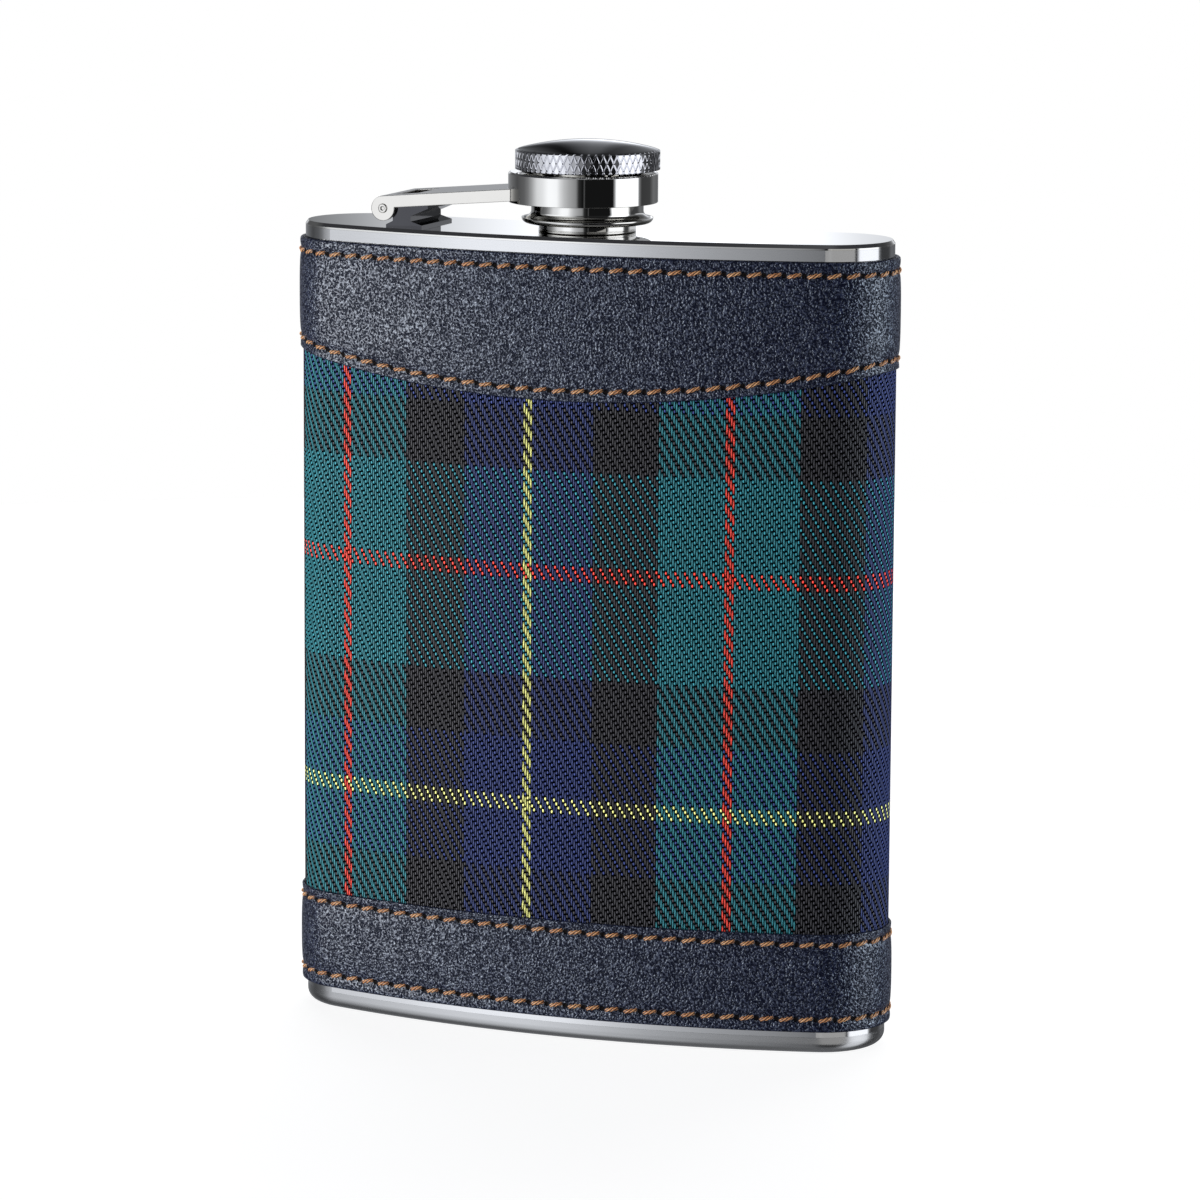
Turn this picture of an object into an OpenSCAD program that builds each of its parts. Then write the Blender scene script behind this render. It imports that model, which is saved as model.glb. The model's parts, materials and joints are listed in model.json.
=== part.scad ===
// Kidney-shaped steel hip flask in a tartan and leather wrap, with a captive screw cap.
// The flask stands on its base plate. +Z is up, the bulging front faces -Y, and the
// hinge of the captive arm is on the -X side of the neck.

/* [Body] */
// Width of the steel body
body_w = 93.2; // [70:0.1:115]
// Thickness of the steel body at its middle
body_t = 22; // [18:0.1:28]
// Height of the steel body, from the base to the shoulder plate
body_h = 121.5; // [100:0.5:150]
// Radius of the bulging front
front_r = 150; // [120:1:220]
// Radius of the hollow back
back_r = 260; // [180:1:400]
// Thickness of the steel wall
wall_t = 0.6; // [0.4:0.1:1]
// Thickness of the shoulder plate and of the base plate
plate_t = 0.8; // [0.6:0.1:1.2]
// Radius of the rounded bottom edge
foot_r = 1.8; // [0.8:0.1:2.5]
// Height of the base dish
base_h = 2.6; // [2.6:0.1:4]

/* [Neck] */
// Radius of the bore of the neck
bore_r = 5.6; // [4.5:0.1:6]
// Radius of the crest of the neck's thread
thread_r = 6.95; // [6.8:0.05:7.1]
// Depth of the thread
thread_depth = 0.4; // [0.2:0.05:0.5]
// Rise of the cap in one turn
thread_pitch = 1.2; // [0.8:0.1:1.3]
// Turns of thread on the neck
thread_turns = 3; // [2:1:3]
// Radius of the collar that shows under the cap
collar_r = 7.3; // [7.1:0.05:7.4]
// Height of the collar
collar_h = 1.6; // [1.2:0.1:1.8]
// Height of the neck above the shoulder plate
neck_h = 7.4; // [6.5:0.1:7.4]
// Length of the spigot below the top of the shoulder plate
spigot_l = 2; // [1.2:0.1:4]

/* [Cap] */
// Outer radius of the cap's sleeve
sleeve_r = 8.4; // [8.2:0.05:8.6]
// Radius of the cap's flared lip
lip_r = 9.85; // [9.5:0.05:10.5]
// Height of the lip's underside above the shoulder plate
lip_z = 1.3; // [1:0.1:1.6]
// Height at which the lip has run out into the sleeve
lip_top_z = 3.1; // [2.6:0.1:3.1]
// Radius of the knurled head
head_r = 10.83; // [10.5:0.01:12]
// Height of the underside of the head
head_z = 9.2; // [9.1:0.1:10]
// Height of the knurled edge
knurl_h = 3; // [2:0.1:4]
// Rise of the dome above the knurled edge
dome_rise = 1.5; // [0.8:0.1:3]
// Thickness of the head's sheet
head_t = 0.9; // [0.6:0.1:1.2]
// Thickness of the sealing washer
washer_t = 0.9; // [0.6:0.1:0.9]

/* [Captive arm] */
// Outer radius of the captive ring
ring_r = 11.2; // [10.8:0.05:12]
// Inner radius of the captive ring
ring_bore_r = 9.15; // [9.1:0.05:9.3]
// Height of the ring
ring_h = 4.5; // [3:0.1:4.5]
// How far the ring hangs off the cap's axis, towards the hinge
ring_offset = 0.7; // [0:0.01:0.7]
// Height of the underside of the ring
ring_z = 4.4; // [4.4:0.05:4.6]
// Distance from the cap's axis to the hinge pin
hinge_x = 30.3; // [24:0.1:34]
// Height of the hinge pin above the shoulder plate
hinge_z = 2.8; // [2.6:0.05:3.2]
// Width of the arm
arm_w = 13.5; // [9:0.1:15]
// Thickness of the arm's sheet
arm_t = 0.6; // [0.4:0.05:0.7]
// Height of the arm's side cheeks
cheek_h = 1.82; // [1.6:0.01:2]
// Radius of the rounded ends of the cheeks
lobe_r = 1.87; // [1.7:0.01:2.1]
// Slope of the arm, in degrees
arm_slope = 4.9; // [3:0.1:6]
// Radius of the hinge pin
pin_r = 0.65; // [0.5:0.05:0.7]

/* [Wrap] */
// Thickness of the backing sheet against the steel
lining_t = 0.2; // [0.1:0.05:0.4]
// Thickness of the tartan cloth
cloth_t = 0.2; // [0.1:0.05:0.5]
// Thickness of the leather
leather_t = 0.5; // [0.3:0.05:1]
// Bare steel left above the top band
bare_top = 2.5; // [1.5:0.1:5]
// Bare steel left below the bottom band
bare_bottom = 3.5; // [2.5:0.1:6]
// Height of the top band at its lowest point
top_band_h = 21.8; // [12:0.1:35]
// Height of the bottom band
bottom_band_h = 15; // [8:0.1:30]
// Radius of the top band's arched lower edge
arch_r = 218; // [120:1:400]
// Width of the turned hem at the outer edges of the bands
hem_w = 0.6; // [0.4:0.1:1.5]
// Gap of the seam at the back
seam_gap = 0.3; // [0.2:0.05:0.6]

/* [Stitches] */
// Distance from one stitch to the next
stitch_pitch = 3; // [2:0.1:4]
// Length of a stitch that shows
stitch_l = 2.1; // [1.4:0.1:2.2]
// Width of the thread
thread_w = 0.5; // [0.3:0.05:0.7]
// How far the thread stands out of the leather
thread_t = 0.15; // [0.1:0.01:0.3]
// Distance of the rows from the outer edges of the bands
outer_inset = 2; // [1.2:0.1:3.5]
// Distance of the rows from the edges that meet the cloth
inner_inset = 1.6; // [1.2:0.1:3.5]

/* [Clearances] */
// Radial running clearance of the hinge pin in its knuckle
pin_clear = 0.05; // [0.02:0.01:0.1]
// Radial clearance between the collar and the mouth of the cap
mouth_clear = 0.15; // [0.12:0.01:0.3]
// Radial clearance between the two threads, which lets the cap tilt off
thread_clear = 0.43; // [0.38:0.01:0.5]
// Clearance round the sealing washer
washer_clear = 0.1; // [0.05:0.01:0.15]
// Clearance between the arm and its bracket
bracket_clear = 0.15; // [0.1:0.01:0.3]

/* [Hidden] */
$fn = 96;
overcut = 1;
steel = "#c9c9cb";
navy = "#2c3046";
amber = "#b4703a";

// The section is a front arc, a back arc and two round ends that both arcs run into.
// The radius of the ends follows from the width: it solves a quadratic equation.
arc_gap = body_t + back_r - front_r;
arc_a = (arc_gap*arc_gap + front_r*front_r - back_r*back_r) / (2*arc_gap);
arc_b = (front_r + back_r) / arc_gap;
quad_b = 2*front_r - body_w - 2*arc_a*arc_b;
quad_c = arc_a*arc_a + body_w*body_w/4 - front_r*front_r;
end_r = (sqrt(quad_b*quad_b - 4*arc_b*arc_b*quad_c) - quad_b) / (2*arc_b*arc_b);
end_x = body_w/2 - end_r;
end_y = front_r - body_t/2 + arc_a - arc_b*end_r;
// The section's middle lies this far in front of the origin, which centres the whole box
mid_y = -(end_y + end_r - body_t/2) / 2;
front_c = front_r - body_t/2;
back_c = back_r + body_t/2;
wedge = 3;
rim_step = 0.3;

// Neck and cap details
groove_z = 0.35;
groove_w = 0.15;
groove_depth = 0.12;
first_thread = 0.6;
ridge_share = 0.7;
ridge_root = 0.3;
core_r = thread_r - thread_depth;
root_depth = 0.2;
flange_t = 0.8;
lip_round_h = 0.8;
lip_round_w = 0.85;
lip_corner = 0.3;
flare_knees = [[0.42, 0.42], [0.12, 0.7]];
mouth_step = 0.5;
ring_bevel = 0.3;

// Hinge details
pin_proud = 0.15;
dimple_share = 0.45;
slot_start = 1.3;
slot_l = 3.6;
slot_share = 0.62;
web_start = -0.3;
foot_plate = [0.2, 6];
waist = [1.3, 4.2];
foot_t = 0.35;
waist_foot_z = 0.9;
waist_top = 1.1;
tongue_l = 7;
tongue_low = 0.1;

// Steps of the wrap, as distances out from the steel
cloth_in = lining_t;
leather_in = lining_t + cloth_t;
leather_out = leather_in + leather_t;
band_top_z = body_h - bare_top;
arch_z = band_top_z - top_band_h;
band_bottom_z = bare_bottom + bottom_band_h;

// Cap, worked out from the neck that it screws onto
mouth_r = collar_r + mouth_clear;
cap_crest_r = thread_r + thread_clear;
washer_z = neck_h + washer_clear;
roof_z = washer_z + washer_t + washer_clear;
flange_r = head_r - head_t;
dome_r = (head_r*head_r + dome_rise*dome_rise) / (2*dome_rise);
dome_z = head_z + knurl_h + dome_rise - dome_r;
round_z = lip_z + lip_round_h;

// The stretch of the section between the round ends
module between_ends() {
    polygon([[0, front_c],
        [-end_x*wedge, front_c + (end_y - front_c)*wedge],
        [end_x*wedge, front_c + (end_y - front_c)*wedge]]);
}

// The section, grown outwards by grow
module bean(grow) {
    difference() {
        intersection() {
            translate([0, front_c]) circle(front_r + grow, $fn = 360);
            between_ends();
        }
        translate([0, back_c]) circle(back_r - grow, $fn = 360);
    }
    for (side = [-1, 1]) translate([side*end_x, end_y]) circle(end_r + grow);
}

module slab(low, high, grow) {
    translate([0, mid_y, low]) linear_extrude(high - low) bean(grow);
}

// A sleeve of the section between two distances out from the steel
module skin(low, high, inner, outer) {
    difference() {
        slab(low, high, outer);
        slab(low - overcut, high + overcut, inner);
    }
}

// The slit at the back where the ends of the wrap meet
module back_seam() {
    translate([-seam_gap/2, mid_y + body_t/4, -overcut])
        cube([seam_gap, body_t, body_h + 2*overcut]);
}

// Everything above the arched edge of the top band, moved up by lift
module arch(lift) {
    translate([0, 0, arch_z + arch_r]) rotate([90, 0, 0])
        cylinder(r = arch_r - lift, h = 4*body_t, center = true, $fn = 360);
}

module on_shoulder() {
    translate([0, mid_y, body_h]) children();
}

// The arm's own frame: origin on the hinge pin, X along the sloping arm
module at_hinge() {
    on_shoulder() translate([-hinge_x, 0, hinge_z]) children();
}

module along_y(r, w) {
    rotate([90, 0, 0]) cylinder(r = r, h = w, center = true, $fn = 48);
}

module body_shell() {
    color(steel) skin(base_h, body_h - plate_t, -wall_t, 0);
}

// Half the turn of the front arc and of the back arc, and the turn of a round end
front_half = atan2(end_x, front_c - end_y);
back_half = atan2(end_x, back_c - end_y);
end_span = 180 - front_half + back_half;

// Bottom edge: each arc of the section is revolved with the same broken corner
function corner(r, side) = [for (a = [0:30:90])
    [r - side*foot_r*(1 - sin(a)), foot_r*(1 - cos(a))]];

module foot_profile(r) {
    polygon(concat([[0, 0]], corner(r, 1), [[r, base_h], [0, base_h]]));
}

module hollow_profile(r) {
    polygon(concat([[0, -overcut], [r + foot_r, -overcut]], corner(r, -1),
        [[r, base_h + overcut], [0, base_h + overcut]]));
}

// A shallow dish: it closes the body below, and its rim carries the wall
module base_plate() {
    color(steel) difference() {
        translate([0, mid_y, 0]) {
            difference() {
                translate([0, front_c, 0]) rotate(-90 - front_half)
                    rotate_extrude(angle = 2*front_half, $fn = 180) foot_profile(front_r);
                translate([0, back_c, 0]) rotate_extrude($fn = 180) hollow_profile(back_r);
            }
            for (side = [-1, 1]) translate([side*end_x, end_y, 0])
                rotate_extrude() foot_profile(end_r);
        }
        slab(plate_t, base_h + overcut, -wall_t - rim_step);
    }
}

module shoulder_plate() {
    color(steel) difference() {
        slab(body_h - plate_t, body_h, 0);
        on_shoulder() translate([0, 0, -plate_t - overcut])
            cylinder(r = core_r, h = plate_t + 2*overcut);
    }
}

function thread_z(turn) = neck_h - first_thread - turn*thread_pitch;

module neck() {
    ridge_w = thread_pitch*ridge_share;
    color(steel) on_shoulder() rotate_extrude() difference() {
        union() {
            translate([0, -spigot_l]) square([core_r, spigot_l + neck_h]);
            square([collar_r, collar_h]);
            for (turn = [1:thread_turns]) translate([core_r, thread_z(turn)])
                polygon([[-ridge_root, -ridge_root], [thread_depth, ridge_w/3],
                    [thread_depth, ridge_w*2/3], [-ridge_root, ridge_w + ridge_root]]);
        }
        translate([0, -spigot_l - overcut]) square([bore_r, spigot_l + neck_h + 2*overcut]);
        translate([collar_r - groove_depth, groove_z]) square([overcut, groove_w]);
    }
}

// Bracket profile: a foot on the plate, a waist, and a tongue under the arm
module hinge_bracket() {
    knuckle_r = lobe_r - arm_t - bracket_clear;
    bracket_w = arm_w - 2*arm_t - 2*bracket_clear;
    color(steel) at_hinge() difference() {
        union() {
            along_y(knuckle_r, bracket_w);
            rotate([90, 0, 0]) linear_extrude(bracket_w, center = true)
                polygon([[0, knuckle_r], [0, -knuckle_r*2/3], [waist[0], -waist_top],
                    [waist[0], -hinge_z + waist_foot_z], [foot_plate[0], -hinge_z + foot_t],
                    [foot_plate[0], -hinge_z], [foot_plate[1], -hinge_z],
                    [foot_plate[1], -hinge_z + foot_t], [waist[1], -hinge_z + waist_foot_z],
                    [waist[1], -waist_top], [tongue_l, tongue_low],
                    [tongue_l, knuckle_r + tongue_l*tan(arm_slope)]]);
        }
        along_y(pin_r + pin_clear, arm_w);
    }
}

module hinge_pin() {
    color(steel) at_hinge() difference() {
        along_y(pin_r, arm_w + 2*pin_proud);
        for (side = [-1, 1]) translate([0, side*(arm_w/2 + pin_proud), 0])
            along_y(pin_r*dimple_share, 2*pin_proud);
    }
}

// The arm is a channel, open below, whose cheeks hang round the pin as lobes
module captive_arm() {
    reach = hinge_x - ring_offset;
    slot_w = arm_w*slot_share;
    color(steel) difference() {
        at_hinge() rotate([0, -arm_slope, 0]) difference() {
            union() {
                translate([web_start, -arm_w/2, lobe_r - arm_t])
                    cube([reach - web_start, arm_w, arm_t]);
                for (side = [-1, 1]) translate([0, side*(arm_w - arm_t)/2, 0]) {
                    along_y(lobe_r, arm_t);
                    translate([0, -arm_t/2, lobe_r - cheek_h]) cube([reach, arm_t, cheek_h]);
                }
            }
            along_y(pin_r, arm_w + 2*overcut);
            translate([slot_start, -slot_w/2, 0]) cube([slot_l, slot_w, 2*lobe_r]);
        }
        on_shoulder() translate([-ring_offset, 0, -overcut])
            cylinder(r = ring_r, h = head_z + dome_rise + knurl_h);
    }
}

module captive_ring() {
    color(steel) on_shoulder() translate([-ring_offset, 0, ring_z]) rotate_extrude()
        polygon([[ring_bore_r, 0], [ring_r - ring_bevel/2, 0], [ring_r, ring_bevel/2],
            [ring_r, ring_h - ring_bevel], [ring_r - ring_bevel, ring_h],
            [ring_bore_r, ring_h]]);
}

// Sleeve with a flared lip below and a flange above, which the head is pressed over
module cap_sleeve() {
    lip_run = lip_top_z - round_z;
    lip_out = lip_r - sleeve_r;
    color(steel) on_shoulder() rotate_extrude() difference() {
        union() {
            translate([0, lip_z]) square([sleeve_r, head_z - lip_z + flange_t]);
            translate([0, head_z]) square([flange_r, flange_t]);
            polygon([[0, lip_z], [lip_r - lip_round_w, lip_z],
                [lip_r - lip_corner, lip_z + lip_corner], [lip_r, round_z],
                for (knee = flare_knees) [sleeve_r + lip_out*knee[0], round_z + lip_run*knee[1]],
                [sleeve_r, lip_top_z], [0, lip_top_z]]);
        }
        translate([0, lip_z - overcut]) square([mouth_r, collar_h - lip_z + overcut + mouth_step]);
        translate([0, lip_z]) square([cap_crest_r, roof_z - lip_z]);
        for (turn = [1:thread_turns]) translate([cap_crest_r - root_depth, thread_z(turn)])
            square([2*root_depth, thread_pitch/2]);
    }
}

module cap_head() {
    color(steel) on_shoulder() rotate_extrude() difference() {
        union() {
            translate([0, head_z]) square([head_r, knurl_h]);
            intersection() {
                translate([0, dome_z]) circle(dome_r, $fn = 360);
                translate([0, head_z]) square([head_r, knurl_h + dome_rise + overcut]);
            }
        }
        translate([0, head_z - overcut]) square([flange_r, flange_t + overcut]);
        intersection() {
            translate([0, dome_z]) circle(dome_r - head_t, $fn = 360);
            translate([0, head_z + flange_t - overcut])
                square([flange_r, knurl_h + dome_rise]);
        }
    }
}

module cap_washer() {
    color("#e6e2d8") on_shoulder() translate([0, 0, washer_z])
        cylinder(r = cap_crest_r - 2*washer_clear, h = washer_t);
}

module wrap_lining() {
    color("#3a3a3c") difference() {
        skin(bare_bottom + hem_w, band_top_z - hem_w, 0, lining_t);
        back_seam();
    }
}

module tartan_cloth() {
    color("#1f4a4c") difference() {
        skin(bare_bottom + hem_w, band_top_z - hem_w, cloth_in, leather_in);
        back_seam();
    }
}

module leather_band_top() {
    color(navy) difference() {
        union() {
            intersection() {
                skin(arch_z - overcut, band_top_z, leather_in, leather_out);
                arch(0);
            }
            skin(band_top_z - hem_w, band_top_z, 0, leather_out);
        }
        back_seam();
    }
}

module leather_band_bottom() {
    color(navy) difference() {
        union() {
            skin(bare_bottom, band_bottom_z, leather_in, leather_out);
            skin(bare_bottom, bare_bottom + hem_w, 0, leather_out);
        }
        back_seam();
    }
}

// Stitches run round the leather: along the front arc, the round ends and the back arc.
// One dash for each stitch along an arc of radius r, centred on the X axis
module fan(span, r) {
    n = round(span*PI/180*r/stitch_pitch);
    for (i = [0:n - 1]) rotate((i + 0.5)*span/n - span/2)
        translate([r - overcut, -stitch_l/2]) square([2*overcut, stitch_l]);
}

module dashes() {
    translate([0, front_c]) rotate(-90) fan(2*front_half, front_r + leather_out);
    translate([0, back_c]) rotate(-90) fan(2*back_half, back_r - leather_out);
    for (side = [0, 1]) mirror([side, 0, 0]) translate([end_x, end_y])
        rotate((front_half + back_half)/2) fan(end_span, end_r + leather_out);
}

module stitch_row(z) {
    intersection() {
        skin(z - thread_w/2, z + thread_w/2, leather_out, leather_out + thread_t);
        translate([0, mid_y, 0]) linear_extrude(body_h) dashes();
    }
}

module stitches_top_upper() {
    color(amber) stitch_row(band_top_z - outer_inset);
}

module stitches_top_lower() {
    color(amber) intersection() {
        difference() {
            intersection() {
                skin(arch_z, band_top_z, leather_out, leather_out + thread_t);
                arch(inner_inset - thread_w/2);
            }
            arch(inner_inset + thread_w/2);
        }
        translate([0, mid_y, 0]) linear_extrude(body_h) dashes();
    }
}

module stitches_bottom_upper() {
    color(amber) stitch_row(band_bottom_z - inner_inset);
}

module stitches_bottom_lower() {
    color(amber) stitch_row(bare_bottom + outer_inset);
}

body_shell();
base_plate();
shoulder_plate();
neck();
hinge_bracket();
hinge_pin();
captive_arm();
captive_ring();
cap_sleeve();
cap_head();
cap_washer();
wrap_lining();
tartan_cloth();
leather_band_top();
leather_band_bottom();
stitches_top_upper();
stitches_top_lower();
stitches_bottom_upper();
stitches_bottom_lower();
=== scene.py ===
# %% [markdown]
# # A steel hip flask in a tartan and leather wrap
# The flask is a kidney-shaped steel bottle. Round it goes a wrap of woven tartan between two
# leather bands, sewn with amber thread, and a screw cap hangs on a hinged arm.
# The hard parts come from the exact model as a fixed frame. This script gives them their
# metal, and builds over them what a solid model can't show: puffed leather, twisted thread,
# woven cloth, a knurled head and a real screw thread.

# %% Load the frame
import json
import math

import bmesh
import bpy
import numpy as np
from mathutils import Matrix, Vector

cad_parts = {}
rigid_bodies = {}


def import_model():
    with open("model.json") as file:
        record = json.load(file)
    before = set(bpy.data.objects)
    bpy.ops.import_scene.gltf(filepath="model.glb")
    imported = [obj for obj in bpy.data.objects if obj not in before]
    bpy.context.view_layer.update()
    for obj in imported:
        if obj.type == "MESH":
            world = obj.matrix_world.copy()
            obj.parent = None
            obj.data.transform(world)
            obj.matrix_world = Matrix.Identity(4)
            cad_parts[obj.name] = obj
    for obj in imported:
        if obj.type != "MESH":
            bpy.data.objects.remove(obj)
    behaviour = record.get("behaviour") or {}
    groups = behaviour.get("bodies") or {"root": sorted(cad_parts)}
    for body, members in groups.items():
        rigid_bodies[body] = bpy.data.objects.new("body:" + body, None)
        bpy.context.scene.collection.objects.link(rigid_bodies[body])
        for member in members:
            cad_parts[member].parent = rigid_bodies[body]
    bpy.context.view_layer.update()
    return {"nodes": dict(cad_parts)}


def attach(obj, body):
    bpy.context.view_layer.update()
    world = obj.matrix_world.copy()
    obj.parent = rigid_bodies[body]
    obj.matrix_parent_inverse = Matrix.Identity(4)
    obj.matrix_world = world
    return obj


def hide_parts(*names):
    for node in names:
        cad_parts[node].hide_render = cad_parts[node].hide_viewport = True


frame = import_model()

steel_nodes = frame["nodes"]
MM = 0.001
print("nodes:", len(steel_nodes))

# %% [markdown]
# ## The outline everything follows
# Seen from above, the flask is a front arc, a hollow back arc and two round ends that run
# smoothly into both. The wrap is bent round this outline, so most pieces are easiest to make
# as strips that run round it. One function that turns "so far round, so far out" into a point
# does for all of them. All lengths here are in millimetres.

# %% Sizes of the outline
body_w, body_t, body_h = 93.2, 22.0, 121.5
front_r, back_r = 150.0, 260.0
arc_gap = body_t + back_r - front_r
arc_a = (arc_gap**2 + front_r**2 - back_r**2) / (2 * arc_gap)
arc_b = (front_r + back_r) / arc_gap
quad_b = 2 * front_r - body_w - 2 * arc_a * arc_b
quad_c = arc_a**2 + body_w**2 / 4 - front_r**2
end_r = (math.sqrt(quad_b**2 - 4 * arc_b**2 * quad_c) - quad_b) / (2 * arc_b**2)
end_x = body_w / 2 - end_r
end_y = front_r - body_t / 2 + arc_a - arc_b * end_r
mid_y = -(end_y + end_r - body_t / 2) / 2
front_c = front_r - body_t / 2
back_c = back_r + body_t / 2
front_half = math.atan2(end_x, front_c - end_y)
back_half = math.atan2(end_x, back_c - end_y)
end_span = math.pi - front_half + back_half
leather_out = 0.9
print("end radius in mm:", round(end_r, 3))
print("the front arc turns", round(math.degrees(2 * front_half), 1), "degrees")


# %% A point on the outline
def lengths(at):
    """Lengths of half the front arc, one round end and half the back arc, `at` outside the steel."""
    return front_half * (front_r + at), end_span * (end_r + at), back_half * (back_r - at)


def half_round(at):
    """Half the way round the outline, `at` outside the steel."""
    return sum(lengths(at))


def outline(s, out, at=leather_out):
    """The point s along the outline from its front middle, and `out` outside the steel.
    s is measured `at` outside the steel. Returns x and y."""
    s, out = np.broadcast_arrays(np.asarray(s, float), np.asarray(out, float))
    run = np.abs(s)
    front_l, end_l, back_l = lengths(at)
    a = np.clip(run / (front_r + at), 0, front_half)
    e = front_half + np.clip((run - front_l) / (end_r + at), 0, end_span)
    b = back_half - np.clip((run - front_l - end_l) / (back_r - at), 0, back_half)
    on_end = run > front_l
    on_back = run > front_l + end_l
    x = (front_r + out) * np.sin(a)
    y = front_c - (front_r + out) * np.cos(a)
    x = np.where(on_end, end_x + (end_r + out) * np.sin(e), x)
    y = np.where(on_end, end_y - (end_r + out) * np.cos(e), y)
    x = np.where(on_back, (back_r - out) * np.sin(b), x)
    y = np.where(on_back, back_c - (back_r - out) * np.cos(b), y)
    return np.sign(s) * x, y + mid_y


around = 2 * half_round(leather_out)
print("once round the leather:", round(around, 1), "mm")

# %% [markdown]
# ## From numbers to pieces
# Each piece is a grid of points: rows run across its profile, columns run round the flask or
# round an axis. Corners of a profile are rounded with a small radius, because no real edge is
# perfectly sharp, and a rounded edge catches a thin line of light. Two extra rows beside each
# rounded corner keep the flat faces flat when the mesh is shaded smooth.


# %% Build a mesh from a grid of points
def piece_from(name, verts, faces, body, node, material, uv=None):
    """A smooth-shaded object in metres that rides on a body and stands for a node.
    uv is a dict of map name to one pair of numbers for each vertex."""
    mesh = bpy.data.meshes.new(name)
    mesh.from_pydata([tuple(v) for v in np.asarray(verts) * MM], [], faces)
    for map_name, pairs in (uv or {}).items():
        layer = mesh.uv_layers.new(name=map_name)
        loops = np.zeros(len(mesh.loops), dtype=np.int64)
        mesh.loops.foreach_get("vertex_index", loops)
        layer.data.foreach_set("uv", np.asarray(pairs, dtype=float)[loops].ravel())
    mesh.validate()
    mesh.shade_smooth()
    thing = bpy.data.objects.new(name, mesh)
    bpy.context.scene.collection.objects.link(thing)
    mesh.materials.append(material)
    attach(thing, body)
    if node:
        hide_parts(node)
    print(name, "has", len(mesh.polygons), "faces")
    return thing


def grid_faces(columns, rows, round_columns=False, round_rows=False, first=0):
    """Four-sided faces over a grid of columns x rows points."""
    c = np.arange(columns if round_columns else columns - 1)
    r = np.arange(rows if round_rows else rows - 1)
    cc, rr = np.meshgrid(c, r, indexing="ij")
    c2 = (cc + 1) % columns
    r2 = (rr + 1) % rows
    quads = np.stack([cc * rows + rr, c2 * rows + rr, c2 * rows + r2, cc * rows + r2], -1)
    return (quads.reshape(-1, 4) + first).tolist()


SAME_SPOT = 1e-7  # points closer than this, in metres, are one point


def face_outwards(thing):
    """Joins points that coincide and turns every face outwards."""
    work = bmesh.new()
    work.from_mesh(thing.data)
    bmesh.ops.remove_doubles(work, verts=work.verts, dist=SAME_SPOT)
    bmesh.ops.recalc_face_normals(work, faces=work.faces)
    work.to_mesh(thing.data)
    work.free()


# %% Round the corners of a profile
def rounded(points, radii, steps=5, guard=0.03):
    """The closed profile with each corner rounded to its radius. A radius of 0 leaves it."""
    out = []
    n = len(points)
    radii = [radii] * n if np.isscalar(radii) else radii
    for i, r in enumerate(radii):
        p = np.array(points[i], float)
        if r <= 0:
            out.append(p)
            continue
        back, ahead = np.array(points[i - 1]) - p, np.array(points[(i + 1) % n]) - p
        back, ahead = back / np.linalg.norm(back), ahead / np.linalg.norm(ahead)
        corner = math.acos(np.clip(back @ ahead, -1, 1))
        if corner > math.pi - 0.02:
            out.append(p)
            continue
        run = r / math.tan(corner / 2)
        middle = (back + ahead) / np.linalg.norm(back + ahead) * r / math.sin(corner / 2) + p
        start, stop = p + back * run - middle, p + ahead * run - middle
        turn = math.atan2(start[0] * stop[1] - start[1] * stop[0], start @ stop)
        out.append(p + back * (run + guard))
        for k in range(steps + 1):
            a = turn * k / steps
            spin = np.array([[math.cos(a), -math.sin(a)], [math.sin(a), math.cos(a)]])
            out.append(middle + spin @ start)
        out.append(p + ahead * (run + guard))
    return np.array(out)


def turned(name, profile, body, node, material, centre_x=0.0, segments=192):
    """A piece turned on a lathe: the profile of (radius, height) goes once round the axis."""
    profile = np.asarray(profile, float)
    a = np.linspace(0, 2 * math.pi, segments, endpoint=False)
    x = centre_x + np.outer(np.cos(a), profile[:, 0])
    y = mid_y + np.outer(np.sin(a), profile[:, 0])
    z = np.tile(profile[:, 1], (segments, 1)) + body_h
    verts = np.stack([x, y, z], -1).reshape(-1, 3)
    faces = grid_faces(segments, len(profile), True, True)
    thing = piece_from(name, verts, faces, body, node, material)
    face_outwards(thing)
    return thing


# %% [markdown]
# ## Finishes for pieces that stay as the frame has them
# The shell, the arm, its pin and bracket, and the lining keep their exact shape. They only
# need a finish, which goes into every material slot that the piece came with.


# %% Give a frame piece its finish
def give_finish(node_name, material):
    """Puts one material into all the slots of a piece that the frame brought."""
    slots = steel_nodes[node_name].material_slots
    for i in range(len(slots)):
        slots[i].material = material
    print(node_name, "gets", material.name)


# %% [markdown]
# ## Where the camera stands
# A long lens from almost a metre away, a little above the flask and to its right, so the
# sides stay nearly upright. The camera is placed from its direction and its distance.

# %% Camera
def place_camera(azimuth, elevation, roll, distance, focal, aim_z, slide_right, slide_up):
    """A camera that looks at the flask's middle. Angles are in degrees, lengths in mm."""
    az, el, ro = (math.radians(v) for v in (azimuth, elevation, roll))
    away = Vector((math.sin(az) * math.cos(el), -math.cos(az) * math.cos(el), math.sin(el)))
    right = Vector((math.cos(az), math.sin(az), 0))
    up = away.cross(right)
    spot = Vector((0, mid_y, aim_z)) + away * distance + right * slide_right + up * slide_up
    across = right * math.cos(ro) + up * math.sin(ro)
    upward = up * math.cos(ro) - right * math.sin(ro)
    turn = Matrix((across, upward, away)).transposed().to_4x4()
    lens = bpy.data.cameras.new("studio_camera")
    lens.sensor_width = 36
    lens.lens = focal
    lens.clip_start, lens.clip_end = 0.05, 20
    camera = bpy.data.objects.new("studio_camera", lens)
    camera.matrix_world = Matrix.Translation(spot * MM) @ turn
    bpy.context.scene.collection.objects.link(camera)
    bpy.context.scene.camera = camera
    return camera


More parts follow.
